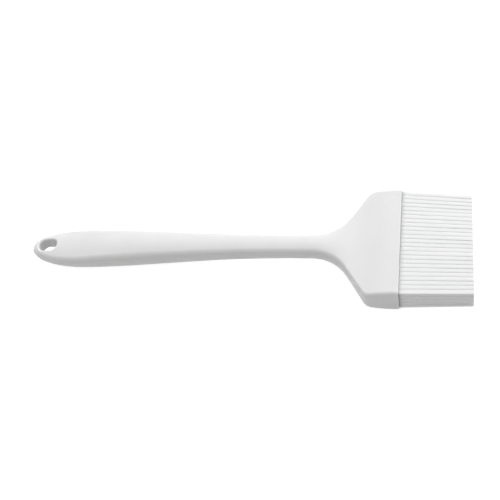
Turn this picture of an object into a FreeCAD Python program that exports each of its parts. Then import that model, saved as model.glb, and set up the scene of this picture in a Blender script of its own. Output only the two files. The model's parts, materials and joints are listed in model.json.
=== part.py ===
"""Pastry brush: a soft silicone handle moulded over a stiff nylon core, and a block of silicone bristles.

Units are millimetres. +X runs from the hanging hole to the bristle tips, +Y across the head, +Z up.
The origin is under the middle of the brush, on the surface that it lies on.
"""

import FreeCAD
import Part
import math
import os

Vector = FreeCAD.Vector

# Overall sizes
overall_length = 252.0
bristle_length = 38.0  # from the collar's mouth to the tips

# Collar: the flat band round the mouth of the head
collar_width = 70.0
collar_thickness = 15.6
collar_corner = 2.0
collar_band = 4.0
collar_wall = 0.9
socket_corner = 0.5  # radius of the corners inside the collar

# Handle, as full widths and thicknesses
grip_width = 23.6
grip_thickness = 13.4
neck_width = 13.2
neck_thickness = 10.0
tail_thickness = 9.2
tail_round_length = 34.0  # half of an ellipse in plan
tail_nose_length = 7.0  # how far the tail's edge rolls over in side view
nose_flat = 0.15  # cut off the ellipse's very tip
belly_at = 56.0  # distance from the tail where the grip is thickest
grip_end = 16.0  # distance from the tail where the grip starts to narrow
neck_run = 12.0  # the neck keeps its width this far before the head begins
handle_corner = 4.8  # radius of the section's corners
corner_limit = 0.6  # no corner is larger than this share of its half width or half thickness
handle_crown = 0.32  # bulge of its sides, as a share of the half thickness
crown_fade_start = 50.0  # the bulge fades out between these distances behind the mouth
crown_fade_end = 10.0
tail_drop = 1.0  # the tail hangs this far below the head's middle
neck_rise = 1.2  # the neck stands this far above it
rise_run = 16.0  # the full rise is reached this far before the neck
level_start = 55.0  # behind the mouth: from here the middle line falls back to the head's middle
level_end = 16.0  # behind the mouth: from here it is level

# Shoulder: the flare from the neck to the collar, in plan
flank_angle = math.radians(57.5)
flank_fillet = 22.0  # hollow radius where the neck turns out
shoulder_radius = 4.8  # round radius where the flank meets the collar's side
shoulder_set_back = 17.2  # from the mouth to where the flank's line meets the collar's side
neck_flat = 4.6  # the head begins this far before the neck turns out
thickening_length = 22.0  # the head thickens over this length behind the collar band

# Hanging hole
hole_length = 11.2  # along the handle, with half-round ends
hole_width = 7.8
hole_from_tail = 10.5
hole_rim_round = 0.8
rim_share = 0.45  # the rim's round takes at most this share of the flat beside the hole
measuring_slack = 0.1  # an edge's measured box is a little larger than the edge

# Bristles
columns = 25
rows = 5
column_gap = 0.3  # between the roots of neighbouring bristles in a row
row_gap = 0.6  # between the roots of neighbouring rows
tip_width_share = 0.9  # a bristle's width at the tip, as a share of that at its root
tip_thickness_share = 0.82  # the same for its thickness
side_gap = 0.25  # between the outer bristles and the collar's wall, across the head
face_gap = 0.2  # the same, through its thickness
width_at_tips = 0.945  # the block's width at the tips, as a share of that at the roots
row_spread_at_tips = 0.88  # the same for the rows' spacing through the thickness
tip_drop = 1.6  # the tips sag this far as the brush lies
hinge_out = 0.6  # the bending line stands this far out of the mouth
hinge_clearance = 0.1

# Bristle base: a flange inside the collar band and a narrower rib behind it
base_set_back = 0.2
rib_depth = 12.0
rib_side_inset = 5.0  # inside the collar's side
rib_face_inset = 3.6  # inside the collar's face
rib_corner = 1.5

# Nylon core
skin_wall = 2.2
core_corner = 1.2
core_lag = 1.2  # the core's spread starts this much later than the skin's
core_spread_delay = 8.0  # the core keeps its width this far into the head
core_behind_hole = 5.9  # between the hanging hole's edge and the core's end
tongue_side_inset = 8.0  # inside the collar's side
tongue_half_thickness = 1.5
tongue_start = 27.0  # behind the mouth
tongue_end = 5.0
window_diameter = 4.2
window_count = 5
window_edge = 4.9  # between the outermost window and the tongue's side
skin_window_set_back = 16.5
base_window_set_back = 9.2

# Places that follow from them
tail_x = -overall_length / 2
tip_x = overall_length / 2
mouth_x = tip_x - bristle_length
band_x = mouth_x - collar_band
shoulder_x = mouth_x - shoulder_set_back
foot_x = shoulder_x - (collar_width - neck_width) / 2 / math.tan(flank_angle)
flare_x = foot_x - flank_fillet * math.tan(flank_angle / 2)
head_x = flare_x - neck_flat
neck_x = head_x - neck_run
middle_z = collar_thickness / 2
hinge_x = mouth_x + hinge_out
hole_x = tail_x + hole_from_tail
block_width = collar_width - 2 * (collar_wall + side_gap)
block_thickness = collar_thickness - 2 * (collar_wall + face_gap)
bristle_width = (block_width - (columns - 1) * column_gap) / columns
bristle_thickness = (block_thickness - (rows - 1) * row_gap) / rows
column_pitch = bristle_width + column_gap
row_pitch = bristle_thickness + row_gap
rib_half_width = collar_width / 2 - rib_side_inset
rib_half_thickness = collar_thickness / 2 - rib_face_inset
tongue_half_width = collar_width / 2 - tongue_side_inset
window_pitch = (2 * (tongue_half_width - window_edge) - window_diameter) / (window_count - 1)


def ease(value, start, end):
    """0 up to start, 1 from end on, and half a cosine wave between them."""
    share = min(max((value - start) / (end - start), 0.0), 1.0)
    return (1 - math.cos(math.pi * share)) / 2


def quarter_round(distance, length):
    """Height of a quarter ellipse, nearly 0 at its blunt nose and 1 from length on."""
    share = min((distance + nose_flat) / (length + nose_flat), 1.0)
    return math.sqrt(1 - (1 - share) ** 2)


def shoulder_half_width(x):
    """Half width of the head in plan: hollow arc, straight flank, round arc, collar."""
    neck, collar = neck_width / 2, collar_width / 2
    tangent = math.tan(flank_angle / 2)
    hollow_end = foot_x + flank_fillet * tangent * math.cos(flank_angle)
    round_start = shoulder_x - shoulder_radius * tangent * math.cos(flank_angle)
    round_end = shoulder_x + shoulder_radius * tangent
    if x <= flare_x:
        return neck
    if x <= hollow_end:
        return neck + flank_fillet - math.sqrt(flank_fillet**2 - (x - flare_x) ** 2)
    if x <= round_start:
        return neck + (x - foot_x) * math.tan(flank_angle)
    if x <= round_end:
        return collar - shoulder_radius + math.sqrt(shoulder_radius**2 - (round_end - x) ** 2)
    return collar


def half_width(x):
    """Half width of the silicone skin at x."""
    grip = (grip_width - neck_width) / 2 * (1 - ease(x, tail_x + grip_end, neck_x))
    return quarter_round(x - tail_x, tail_round_length) * (grip + shoulder_half_width(x))


def half_thickness(x):
    """Half thickness of the silicone skin at x."""
    belly_x = tail_x + belly_at
    handle = tail_thickness / 2
    handle += (grip_thickness - tail_thickness) / 2 * ease(x, tail_x, belly_x)
    handle += (neck_thickness - grip_thickness) / 2 * ease(x, belly_x, neck_x)
    head = ease(x, band_x - thickening_length, band_x)
    return quarter_round(x - tail_x, tail_nose_length) * (
        handle + (collar_thickness / 2 - handle) * head
    )


def spine_z(x):
    """Height of the skin's middle at x: the tail hangs a little and the neck stands a little proud."""
    rise = -tail_drop + (tail_drop + neck_rise) * ease(x, tail_x, neck_x - rise_run)
    return middle_z + rise * (1 - ease(x, mouth_x - level_start, mouth_x - level_end))


def crown_share(x):
    """How far the section bulges: full along the handle, none near the collar."""
    return 1 - ease(x, mouth_x - crown_fade_start, mouth_x - crown_fade_end)


def corner_points(width, thickness, corner, crown):
    """Where a corner's arc ends on the top side, its middle, and where it ends on the upright side."""
    corner = min(corner, corner_limit * width, corner_limit * thickness)
    if crown > 0:
        bulge = crown * thickness
        top_radius = (width**2 + bulge**2) / (2 * bulge)
        side_radius = (thickness**2 + bulge**2) / (2 * bulge)
        top_centre = (0.0, thickness - top_radius)
        side_centre = (width - side_radius, 0.0)
        centre = meeting_point(top_centre, top_radius - corner, side_centre, side_radius - corner)
        on_top = along(top_centre, centre, top_radius)
        on_side = along(side_centre, centre, side_radius)
    else:
        centre = (width - corner, thickness - corner)
        on_top = (centre[0], thickness)
        on_side = (width, centre[1])
    between = ((on_top[0] + on_side[0]) / 2, (on_top[1] + on_side[1]) / 2)
    return on_top, along(centre, between, corner), on_side


def section(x, width, thickness, corner, crown, height):
    """Closed outline at x of half width by half thickness, with tangent arcs at its four corners.

    crown is the bulge of each side as a share of the half thickness; 0 makes the sides straight.
    """
    on_top, on_corner, on_side = corner_points(width, thickness, corner, crown)

    def place(point, y_sign, z_sign):
        return Vector(x, y_sign * point[0], height + z_sign * point[1])

    def side(start, middle, end):
        if crown > 0:
            return Part.Arc(start, middle, end).toShape()
        return Part.LineSegment(start, end).toShape()

    edges = []
    quadrants = [(1, 1), (1, -1), (-1, -1), (-1, 1)]
    for number, (y_sign, z_sign) in enumerate(quadrants):
        next_y, next_z = quadrants[(number + 1) % 4]
        ends = [on_top, on_side] if number % 2 == 0 else [on_side, on_top]
        first, last = (place(point, y_sign, z_sign) for point in ends)
        edges.append(Part.Arc(first, place(on_corner, y_sign, z_sign), last).toShape())
        middle = (width, 0.0) if number % 2 == 0 else (0.0, thickness)
        edges.append(side(last, place(middle, next_y, z_sign), place(ends[1], next_y, next_z)))
    return Part.Wire(edges)


def meeting_point(first, first_radius, second, second_radius):
    """The upper right point where two circles meet."""
    dx, dy = second[0] - first[0], second[1] - first[1]
    gap = math.hypot(dx, dy)
    reach = (first_radius**2 - second_radius**2 + gap**2) / (2 * gap)
    rise = math.sqrt(max(first_radius**2 - reach**2, 0.0))
    foot = (first[0] + reach * dx / gap, first[1] + reach * dy / gap)
    points = [(foot[0] - s * rise * dy / gap, foot[1] + s * rise * dx / gap) for s in (1, -1)]
    return max(points, key=lambda point: point[0] + point[1])


def along(start, through, distance):
    """The point at distance from start, on the way through another point."""
    dx, dy = through[0] - start[0], through[1] - start[1]
    length = math.hypot(dx, dy)
    return (start[0] + dx * distance / length, start[1] + dy * distance / length)


def handle_stations():
    """Where the handle's sections stand: close together on the tail's nose, then wide apart."""
    nose_steps, steps = 10, 7
    nose = [tail_round_length * (i / nose_steps) ** 2 for i in range(nose_steps + 1)]
    stations = [tail_x + distance for distance in nose]
    last = stations[-1]
    return stations + [last + (head_x - last) * (i + 1) / steps for i in range(steps)]


def head_stations():
    """Where the head's sections stand: evenly from the neck to the collar band."""
    steps = 28
    return [head_x + (band_x - head_x) * i / steps for i in range(steps + 1)]


def skin_loft(stations):
    """A smooth solid through the skin's sections."""
    wires = []
    for x in stations:
        crown = handle_crown * crown_share(x)
        corner = collar_corner + (handle_corner - collar_corner) * crown_share(x)
        wires.append(section(x, half_width(x), half_thickness(x), corner, crown, spine_z(x)))
    return Part.makeLoft(wires, True, False)


def outer_shape():
    """The whole handle and head as one solid lump, with no hole and no socket."""
    band = section(
        band_x, collar_width / 2, collar_thickness / 2, collar_corner, 0.0, middle_z
    )
    collar = Part.Face(band).extrude(Vector(collar_band, 0, 0))
    return skin_loft(handle_stations()).fuse([skin_loft(head_stations()), collar])


def upright_rod(x, y, diameter):
    """A vertical cylinder that passes right through the brush."""
    return Part.makeCylinder(diameter / 2, 3 * collar_thickness, Vector(x, y, -collar_thickness))


def hanging_hole():
    """An upright rod of oblong section that passes right through the tail."""
    radius, straight = hole_width / 2, (hole_length - hole_width) / 2

    def point(x, y):
        return Vector(hole_x + x, y, -collar_thickness)

    edges = []
    for sign in (1, -1):
        near, far = point(sign * straight, -sign * radius), point(sign * straight, sign * radius)
        edges.append(Part.Arc(near, point(sign * (straight + radius), 0), far).toShape())
        edges.append(Part.LineSegment(far, point(-sign * straight, sign * radius)).toShape())
    return Part.Face(Part.Wire(edges)).extrude(Vector(0, 0, 3 * collar_thickness))


def windows(set_back):
    """The rods that cut one line of windows in the core's tongue."""
    first = -(window_count - 1) / 2 * window_pitch
    return [
        upright_rod(mouth_x - set_back, first + i * window_pitch, window_diameter)
        for i in range(window_count)
    ]


def core_half_width(x):
    """Half width of the core: inside the skin by its wall, and by as much along the sloping flank."""
    return min(half_width(x - core_lag) - skin_wall, tongue_half_width)


def make_core():
    """Nylon core: a bar inside the handle that spreads into a flat tongue inside the head."""
    start = hole_x + hole_length / 2 + core_behind_hole
    spread_start = head_x + core_spread_delay
    end = mouth_x - tongue_start
    bar_steps, spread_steps = 7, 6
    stations = [start + (spread_start - start) * i / bar_steps for i in range(bar_steps)]
    stations += [
        spread_start + (end - spread_start) * i / spread_steps for i in range(spread_steps + 1)
    ]
    wires = []
    for x in stations:
        thickness = half_thickness(x) - skin_wall
        thickness += (tongue_half_thickness - thickness) * ease(x, spread_start, end)
        wires.append(section(x, core_half_width(x), thickness, core_corner, 0.0, spine_z(x)))
    bar = Part.makeLoft(wires, True, False)
    start_width = core_half_width(end)
    full_x = end + (tongue_half_width - start_width) / math.tan(flank_angle)
    edge = [(end, start_width), (full_x, tongue_half_width), (mouth_x - tongue_end, tongue_half_width)]
    points = [Vector(x, y, 0) for x, y in edge] + [Vector(x, -y, 0) for x, y in reversed(edge)]
    outline = Part.Face(Part.makePolygon(points + points[:1]))
    outline.translate(Vector(0, 0, spine_z(end) - tongue_half_thickness))
    tongue = outline.extrude(Vector(0, 0, 2 * tongue_half_thickness))
    return bar.fuse(tongue).cut(windows(skin_window_set_back) + windows(base_window_set_back))


def make_base(core):
    """Silicone base of the bristle block, with a groove for the root of each row."""
    flange_front = mouth_x - base_set_back
    flange = Part.Face(collar_inside(band_x)).extrude(Vector(flange_front - band_x, 0, 0))
    rib_outline = section(
        mouth_x - rib_depth, rib_half_width, rib_half_thickness, rib_corner, 0.0, middle_z
    )
    rib = Part.Face(rib_outline).extrude(Vector(flange_front - mouth_x + rib_depth, 0, 0))
    radius = bristle_thickness / 2 + hinge_clearance
    grooves = [
        Part.makeCylinder(radius, collar_width, Vector(hinge_x, -collar_width / 2, z), Vector(0, 1, 0))
        for z in row_heights()
    ]
    return flange.fuse(rib).removeSplitter().cut(grooves).cut(core)


def make_skin(core, base):
    """Silicone skin: handle, head and collar, moulded as one round the core and the base."""
    skin = outer_shape().cut(hanging_hole())
    top, _, _ = corner_points(
        half_width(hole_x), half_thickness(hole_x), handle_corner, handle_crown
    )
    room = top[0] - hole_width / 2
    rims = [edge for edge in skin.Edges if is_rim(edge.BoundBox)]
    skin = skin.makeFillet(min(hole_rim_round, rim_share * room), rims)
    return skin.cut([core, base.fuse(socket_front())])


def parted(skin):
    """The skin in two lengths that meet at the neck: the handle's and the head's."""
    head_side = Part.makeBox(
        tip_x - head_x, 2 * collar_width, 3 * collar_thickness,
        Vector(head_x, -collar_width, -collar_thickness),
    )
    return skin.cut(head_side), skin.common(head_side)


def is_rim(box):
    """True for an edge that lies round either end of the hanging hole."""
    reach = max(abs(box.XMin - hole_x), abs(box.XMax - hole_x))
    side_reach = max(abs(box.YMin), abs(box.YMax))
    beside_hole = reach < hole_length / 2 + measuring_slack and side_reach < hole_width / 2 + measuring_slack
    return beside_hole and box.ZLength < hole_width / 4


def socket_front():
    """The socket's space inside the collar band, out to the mouth."""
    depth = base_set_back + bristle_thickness
    return Part.Face(collar_inside(mouth_x - depth)).extrude(Vector(depth, 0, 0))


def collar_inside(x):
    """Outline at x of the inside of the collar's wall."""
    half_height = collar_thickness / 2 - collar_wall
    return section(x, collar_width / 2 - collar_wall, half_height, socket_corner, 0.0, middle_z)


def row_heights():
    """Height of each row's bending line, from the lowest row up."""
    return [middle_z + (i - (rows - 1) / 2) * row_pitch for i in range(rows)]


def make_row(height):
    """One row of bristles on a thin web: a tapered sheet with a round root, slit between columns."""
    root, tip = bristle_thickness / 2, bristle_thickness * tip_thickness_share / 2
    tip_z = middle_z - tip_drop + (height - middle_z) * row_spread_at_tips
    side_y = -block_width / 2
    corners = [
        Vector(hinge_x, side_y, height + root),
        Vector(tip_x, side_y, tip_z + tip),
        Vector(tip_x, side_y, tip_z - tip),
        Vector(hinge_x, side_y, height - root),
    ]
    edges = [Part.LineSegment(corners[i], corners[i + 1]).toShape() for i in range(3)]
    back = Vector(hinge_x - root, side_y, height)
    edges.append(Part.Arc(corners[3], back, corners[0]).toShape())
    sheet = Part.Face(Part.Wire(edges)).extrude(Vector(0, block_width, 0))
    return sheet.cut(slits())


def bristle_side(column, sign, x):
    """Where a side of one column's bristles stands at x; sign picks the side."""
    share = (x - hinge_x) / (tip_x - hinge_x)
    middle = (column - (columns - 1) / 2) * column_pitch
    middle *= 1 + (width_at_tips - 1) * share
    return middle + sign * bristle_width * (1 + (tip_width_share - 1) * share) / 2


def slits():
    """Upright wedges between neighbouring bristles, and one along each outer side of the block."""
    far_x = tip_x + row_pitch
    wedges = []
    for gap in range(columns + 1):
        low = [-block_width, -block_width]
        high = [block_width, block_width]
        if gap > 0:
            low = [bristle_side(gap - 1, 1, x) for x in (mouth_x, far_x)]
        if gap < columns:
            high = [bristle_side(gap, -1, x) for x in (mouth_x, far_x)]
        outline = [
            Vector(mouth_x, low[0], -collar_thickness),
            Vector(far_x, low[1], -collar_thickness),
            Vector(far_x, high[1], -collar_thickness),
            Vector(mouth_x, high[0], -collar_thickness),
        ]
        face = Part.Face(Part.makePolygon(outline + outline[:1]))
        wedges.append(face.extrude(Vector(0, 0, 3 * collar_thickness)))
    return wedges


def write(name, shape):
    """Writes one node as its own STEP file."""
    shape.exportStep(os.path.join("parts", name + ".step"))
    print(name, "solids", len(shape.Solids), "valid", shape.isValid(), "mm3", round(shape.Volume))


def main():
    os.makedirs("parts", exist_ok=True)
    core = make_core()
    base = make_base(core)
    write("handle_core", core)
    write("bristle_base", base)
    handle_skin, head_skin = parted(make_skin(core, base))
    write("handle_skin", handle_skin)
    write("head_skin", head_skin)
    for number, height in enumerate(row_heights(), start=1):
        write(f"bristle_row_{number}", make_row(height))


main()
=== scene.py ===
"""Looks of the pastry brush: satin silicone handle and head, soft silicone bristles, pale studio floor."""

import json
import math
import random

import bmesh
import bpy
from mathutils import Matrix, Vector


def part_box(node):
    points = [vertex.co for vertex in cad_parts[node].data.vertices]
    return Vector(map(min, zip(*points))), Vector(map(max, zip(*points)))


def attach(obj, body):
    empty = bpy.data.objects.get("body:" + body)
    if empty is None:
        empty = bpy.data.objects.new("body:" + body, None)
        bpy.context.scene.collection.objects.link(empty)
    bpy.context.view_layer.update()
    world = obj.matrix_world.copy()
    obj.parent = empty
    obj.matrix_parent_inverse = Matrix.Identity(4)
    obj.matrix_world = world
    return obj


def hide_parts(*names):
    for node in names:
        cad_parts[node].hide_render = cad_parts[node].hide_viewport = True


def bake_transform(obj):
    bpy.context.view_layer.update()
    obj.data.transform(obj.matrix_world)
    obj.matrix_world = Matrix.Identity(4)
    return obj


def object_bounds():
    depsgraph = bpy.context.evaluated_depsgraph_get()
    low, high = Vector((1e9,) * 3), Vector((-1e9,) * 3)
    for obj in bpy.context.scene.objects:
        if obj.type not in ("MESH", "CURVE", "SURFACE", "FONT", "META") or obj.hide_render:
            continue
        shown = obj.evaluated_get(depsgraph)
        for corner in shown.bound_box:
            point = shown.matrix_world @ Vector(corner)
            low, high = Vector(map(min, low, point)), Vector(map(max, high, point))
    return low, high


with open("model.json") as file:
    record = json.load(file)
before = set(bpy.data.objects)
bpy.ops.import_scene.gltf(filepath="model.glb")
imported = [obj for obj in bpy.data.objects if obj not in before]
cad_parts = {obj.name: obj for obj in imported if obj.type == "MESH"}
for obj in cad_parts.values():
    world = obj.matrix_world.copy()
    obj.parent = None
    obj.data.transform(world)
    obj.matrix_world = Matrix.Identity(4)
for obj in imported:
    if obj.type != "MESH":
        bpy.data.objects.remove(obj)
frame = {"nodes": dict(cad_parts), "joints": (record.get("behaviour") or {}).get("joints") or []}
cad_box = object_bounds()

MM = 0.001

# Bristles, as moulded
COLUMNS = 25
COLUMN_GAP = 0.02 * MM  # between the roots of neighbouring bristles in a row
TIP_WIDTH_SHARE = 0.945  # a bristle's width at the tip, as a share of that at its root
ROOT_THICK = 2.6 * MM
TIP_THICK = 2.22 * MM
SOLID_TIP_THICK = 1.8 * MM  # of the plain solid that a row replaces
SIDE_SHARE_AT_TIPS = 0.945  # the block narrows this much across the head
CROWN_ACROSS = 1.1 * MM  # each bristle's face falls away this far in from its neighbour
SIDE_ACROSS = 0.35 * MM  # the same on the block's outer sides
CROWN_UP = 0.13 * MM
TIP_ROUND = 0.25 * MM
TIP_ROUND_MIDDLE = 0.3  # share of that rounding reached at the ring just before the end
STRAY = 0.1 * MM  # how far a tip may lean from its place
STRAY_FLATTENING = 3  # a tip leans this many times less up and down than across
ROOT_HIDDEN = 1.0 * MM  # length inside the collar's mouth
CORNER_STEPS = 4
LENGTH_STEPS = 12

# Silicone, in real sizes
CLOUD_SIZE = 14 * MM  # about a fingertip across
SINK_SIZE = 4.5 * MM  # slow waves where thick rubber shrinks as it cures
SINK_DEPTH = 0.12 * MM
GRAIN_SIZE = 0.5 * MM  # coarser than the real 0.1 mm, so that it shows
GRAIN_DEPTH = 0.03 * MM
SCATTER_DEPTH = 2.0 * MM
SILICONE_ROUGHNESS = 0.5
ROUGHNESS_SWING = 0.05  # either way, from cloud to cloud
SILICONE_SCATTER = 0.9
PARTING_SLACK = 0.01 * MM  # how far off the parting plane a point still counts as on it

# Studio
FLOOR_HALF = 3.0
FLOOR_GLOW = 0.5
LIGHT_PLACE = (0.2, 0.95, 1.15)
LIGHT_AIM = (0, 0, 0)
LIGHT_SIZE = 1.9
LIGHT_POWER = 30
AIR_STRENGTH = 0.69

# Camera: the brush lies below it and a little to its left
CAMERA_PLACE = Vector((0.11224, -0.28582, 0.40659))
CAMERA_YAW = math.radians(-20.66)
CAMERA_PITCH = math.radians(52.70)
CAMERA_ROLL = math.radians(-16.70)
CAMERA_LENS = 64.68
SENSOR_WIDTH = 36.0


def linear(hex_colour):
    """sRGB hex to the linear colour that shaders take."""
    channels = [int(hex_colour[i : i + 2], 16) / 255 for i in (1, 3, 5)]
    toned = [c / 12.92 if c <= 0.04045 else ((c + 0.055) / 1.055) ** 2.4 for c in channels]
    return (*toned, 1.0)


# ---------- materials ----------


def add_node(tree, kind, settings=None, links=None):
    """One shader node, with its socket values or properties and the sockets that feed it."""
    node = tree.nodes.new(kind)
    for name, value in (settings or {}).items():
        if name in node.inputs:
            node.inputs[name].default_value = value
        else:
            setattr(node, name, value)
    for name, source in (links or {}).items():
        tree.links.new(source, node.inputs[name])
    return node


def new_material(name):
    """An empty material and its node tree."""
    made = bpy.data.materials.new(name)
    made.use_nodes = True
    made.node_tree.nodes.clear()
    return made, made.node_tree


def moulded_silicone(name, light, shade):
    """Platinum-cured silicone, injection moulded in a bead-blasted tool.

    The blasted tool leaves a fine matte grain, the rubber scatters light a little under its
    surface, and handling leaves faint cloudy patches that are slightly darker and glossier.
    """
    made, tree = new_material(name)
    place = add_node(tree, "ShaderNodeTexCoord").outputs["Object"]
    clouds = add_node(
        tree, "ShaderNodeTexNoise", {"Scale": 1 / CLOUD_SIZE, "Detail": 3.0, "Roughness": 0.55},
        {"Vector": place},
    )
    grain = add_node(
        tree, "ShaderNodeTexNoise", {"Scale": 1 / GRAIN_SIZE, "Detail": 4.0, "Roughness": 0.7},
        {"Vector": place},
    )
    flow = add_node(
        tree, "ShaderNodeTexNoise", {"Scale": 1 / SINK_SIZE, "Detail": 2.0, "Roughness": 0.5},
        {"Vector": place},
    )
    tone = add_node(tree, "ShaderNodeValToRGB", links={"Fac": clouds.outputs["Fac"]})
    tone.color_ramp.elements[0].color = linear(shade)
    tone.color_ramp.elements[1].color = linear(light)
    gloss = add_node(
        tree, "ShaderNodeMapRange",
        {
            "From Min": 0.3,
            "From Max": 0.7,
            "To Min": SILICONE_ROUGHNESS - ROUGHNESS_SWING,
            "To Max": SILICONE_ROUGHNESS + ROUGHNESS_SWING,
        },
        {"Value": clouds.outputs["Fac"]},
    )
    fine = add_node(
        tree, "ShaderNodeBump", {"Strength": 0.25, "Distance": GRAIN_DEPTH},
        {"Height": grain.outputs["Fac"]},
    )
    sink = add_node(
        tree, "ShaderNodeBump", {"Strength": 0.35, "Distance": SINK_DEPTH},
        {"Height": flow.outputs["Fac"], "Normal": fine.outputs["Normal"]},
    )
    surface = add_node(
        tree, "ShaderNodeBsdfPrincipled",
        {
            "IOR": 1.41,
            "Subsurface Weight": SILICONE_SCATTER,
            "Subsurface Radius": (1.0, 0.95, 0.9),
            "Subsurface Scale": SCATTER_DEPTH,
        },
        {
            "Base Color": tone.outputs["Color"],
            "Roughness": gloss.outputs["Result"],
            "Normal": sink.outputs["Normal"],
        },
    )
    add_node(tree, "ShaderNodeOutputMaterial", links={"Surface": surface.outputs["BSDF"]})
    return made


def moulded_nylon():
    """Glass-filled nylon, injection moulded: off-white and dull, hidden inside the handle."""
    made, tree = new_material("nylon_moulded")
    place = add_node(tree, "ShaderNodeTexCoord").outputs["Object"]
    # The fibres are drawn coarser than the real 0.3 mm ones, so that they show
    fibres = add_node(
        tree, "ShaderNodeTexNoise", {"Scale": 1 / (1.2 * MM), "Detail": 3.0}, {"Vector": place}
    )
    bump = add_node(
        tree, "ShaderNodeBump", {"Strength": 0.3, "Distance": 0.05 * MM},
        {"Height": fibres.outputs["Fac"]},
    )
    surface = add_node(
        tree, "ShaderNodeBsdfPrincipled",
        {"Base Color": linear("#DAD8D0"), "Roughness": 0.55, "IOR": 1.53},
        {"Normal": bump.outputs["Normal"]},
    )
    add_node(tree, "ShaderNodeOutputMaterial", links={"Surface": surface.outputs["BSDF"]})
    return made


def opal_board():
    """Matt opal acrylic for the floor, lit a little from below, so that shadows on it stay faint."""
    made, tree = new_material("acrylic_opal")
    surface = add_node(
        tree, "ShaderNodeBsdfPrincipled",
        {
            "Base Color": linear("#FAFAFA"),
            "Roughness": 0.9,
            "IOR": 1.49,
            "Emission Color": linear("#FFFFFF"),
            "Emission Strength": FLOOR_GLOW,
        },
    )
    add_node(tree, "ShaderNodeOutputMaterial", links={"Surface": surface.outputs["BSDF"]})
    return made


# ---------- pieces ----------


def coat(piece, material):
    """Gives a piece one material all over."""
    piece.data.materials.clear()
    piece.data.materials.append(material)


def one_skin(material):
    """The silicone moulding as the one piece that it is, without the parting at the neck."""
    lengths = ("handle_skin", "head_skin")
    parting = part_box("head_skin")[0].x
    made = bmesh.new()
    for node in lengths:
        made.from_mesh(frame["nodes"][node].data)
    ends = [
        face
        for face in made.faces
        if all(abs(v.co.x - parting) < PARTING_SLACK for v in face.verts)
    ]
    bmesh.ops.delete(made, geom=ends, context="FACES")
    mesh = bpy.data.meshes.new("silicone_skin")
    made.to_mesh(mesh)
    made.free()
    skin = bpy.data.objects.new("silicone_skin", mesh)
    bpy.context.collection.objects.link(skin)
    coat(skin, material)
    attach(skin, "handle")
    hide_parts(*lengths)


def ring_points(half_across, half_up, crowns):
    """Rectangle about the origin with softly rounded corners, as (across, up) pairs.

    crowns are how far in from the +Y and from the -Y side the corners begin.
    """
    points = []
    for turn in range(4):
        middle = math.pi / 2 * turn + math.pi / 4
        y_sign, z_sign = math.copysign(1, math.cos(middle)), math.copysign(1, math.sin(middle))
        crown = crowns[0] if y_sign > 0 else crowns[1]
        for step in range(CORNER_STEPS + 1):
            angle = math.pi / 2 * (turn + step / CORNER_STEPS)
            across = (half_across - crown) * y_sign + crown * math.cos(angle)
            points.append((across, (half_up - CROWN_UP) * z_sign + CROWN_UP * math.sin(angle)))
    return points


def add_bristle(made, root, tip, lean, root_width, crowns):
    """One tapered bristle with rounded long edges and a softly rounded cut end."""
    length = tip.x - root.x
    # How far along the bristle each ring lies, and how much is trimmed from its half sizes
    stations = [
        (step / LENGTH_STEPS * (1 - TIP_ROUND / length), 0.0) for step in range(LENGTH_STEPS + 1)
    ]
    stations += [
        (1 - TIP_ROUND_MIDDLE * TIP_ROUND / length, TIP_ROUND_MIDDLE * TIP_ROUND),
        (1.0, TIP_ROUND),
    ]
    loops = []
    for share, trim in stations:
        centre = root.lerp(tip, share) + lean * share**2
        half_across = root_width * (1 + (TIP_WIDTH_SHARE - 1) * share) / 2 - trim
        half_up = (ROOT_THICK + (TIP_THICK - ROOT_THICK) * share) / 2 - trim
        loops.append(
            [
                made.verts.new((centre.x, centre.y + across, centre.z + up))
                for across, up in ring_points(half_across, half_up, crowns)
            ]
        )
    for near, far in zip(loops, loops[1:]):
        for i in range(len(near)):
            j = (i + 1) % len(near)
            made.faces.new((near[i], near[j], far[j], far[i]))
    made.faces.new(list(reversed(loops[0])))
    made.faces.new(loops[-1])


def bristle_row(number, joint, material):
    """All the bristles of one row, rooted at the joint about which the row bends, in the collar's mouth.
    """
    node = f"bristle_row_{number}"
    low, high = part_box(node)
    hinge = Vector(joint["pos_m"])
    root_width = (high.y - low.y - (COLUMNS - 1) * COLUMN_GAP) / COLUMNS
    outer = high.y - root_width / 2
    tip_z = low.z + SOLID_TIP_THICK / 2
    chance = random.Random(number)
    made = bmesh.new()
    for column in range(COLUMNS):
        side = (column / (COLUMNS - 1) * 2 - 1) * outer
        root = Vector((hinge.x - ROOT_HIDDEN, side, hinge.z))
        tip = Vector((high.x, side * SIDE_SHARE_AT_TIPS, tip_z))
        lean_across = chance.uniform(-STRAY, STRAY)
        lean_up = chance.uniform(-STRAY, STRAY) / STRAY_FLATTENING
        lean = Vector((0, lean_across, lean_up))
        crowns = (
            SIDE_ACROSS if column == COLUMNS - 1 else CROWN_ACROSS,
            SIDE_ACROSS if column == 0 else CROWN_ACROSS,
        )
        add_bristle(made, root, tip, lean, root_width, crowns)
    bmesh.ops.recalc_face_normals(made, faces=made.faces)
    mesh = bpy.data.meshes.new(f"{node}_bristles")
    made.to_mesh(mesh)
    made.free()
    for face in mesh.polygons:
        face.use_smooth = True
    piece = bpy.data.objects.new(f"{node}_bristles", mesh)
    bpy.context.collection.objects.link(piece)
    coat(piece, material)
    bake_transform(piece)
    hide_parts(node)


# ---------- studio ----------


def studio_floor(material):
    """A wide pale floor that the brush lies on, and that throws no light back up at its sides."""
    half = FLOOR_HALF
    made = bmesh.new()
    corners = [(-half, -half), (half, -half), (half, half), (-half, half)]
    made.faces.new([made.verts.new((x, y, cad_box[0].z)) for x, y in corners])
    mesh = bpy.data.meshes.new("floor")
    made.to_mesh(mesh)
    made.free()
    floor = bpy.data.objects.new("floor", mesh)
    bpy.context.collection.objects.link(floor)
    coat(floor, material)
    floor.visible_diffuse = False


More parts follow.
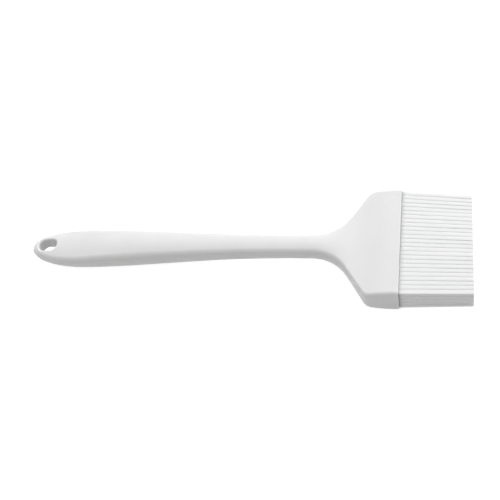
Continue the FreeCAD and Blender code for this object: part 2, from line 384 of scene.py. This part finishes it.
def soft_box(name, place, aim, size, power):
    """A square soft light that points at aim."""
    lamp = bpy.data.lights.new(name, "AREA")
    lamp.size = size
    lamp.energy = power
    holder = bpy.data.objects.new(name, lamp)
    holder.location = place
    holder.rotation_euler = (Vector(aim) - Vector(place)).to_track_quat("-Z", "Y").to_euler()
    bpy.context.collection.objects.link(holder)


def studio_air(colour, strength):
    """Even light from all round."""
    world = bpy.data.worlds.new("studio")
    world.use_nodes = True
    back = world.node_tree.nodes["Background"]
    back.inputs["Color"].default_value = linear(colour)
    back.inputs["Strength"].default_value = strength
    bpy.context.scene.world = world


def studio_camera():
    """The camera, turned by its yaw, pitch and roll."""
    camera = bpy.data.objects.new("camera", bpy.data.cameras.new("camera"))
    camera.data.lens = CAMERA_LENS
    camera.data.sensor_width = SENSOR_WIDTH
    ahead = Vector(
        (
            math.sin(CAMERA_YAW) * math.cos(CAMERA_PITCH),
            math.cos(CAMERA_YAW) * math.cos(CAMERA_PITCH),
            -math.sin(CAMERA_PITCH),
        )
    )
    level = Vector((math.cos(CAMERA_YAW), -math.sin(CAMERA_YAW), 0))
    above = level.cross(ahead)
    right = math.cos(CAMERA_ROLL) * level + math.sin(CAMERA_ROLL) * above
    up = math.cos(CAMERA_ROLL) * above - math.sin(CAMERA_ROLL) * level
    turn = Matrix((right, up, -ahead)).transposed()
    camera.matrix_world = Matrix.Translation(CAMERA_PLACE) @ turn.to_4x4()
    bpy.context.collection.objects.link(camera)
    bpy.context.scene.camera = camera


def main():
    handle_silicone = moulded_silicone("silicone_moulded_handle", "#CECECE", "#C7C7C7")
    # The bristles and their base get the same silicone as the handle, painted a little lighter: painted
    # light, standing in for the light that shines through the thin bristles.
    bristle_silicone = moulded_silicone("silicone_moulded_bristles", "#D4D4D4", "#CDCDCD")
    one_skin(handle_silicone)
    coat(frame["nodes"]["handle_core"], moulded_nylon())
    coat(frame["nodes"]["bristle_base"], bristle_silicone)
    for number, joint in enumerate(frame["joints"], start=1):
        bristle_row(number, joint, bristle_silicone)
    studio_floor(opal_board())
    soft_box("over_and_behind", LIGHT_PLACE, LIGHT_AIM, LIGHT_SIZE, LIGHT_POWER)
    studio_air("#FFFFFF", AIR_STRENGTH)
    studio_camera()
    bpy.context.scene.view_settings.view_transform = "Standard"


main()
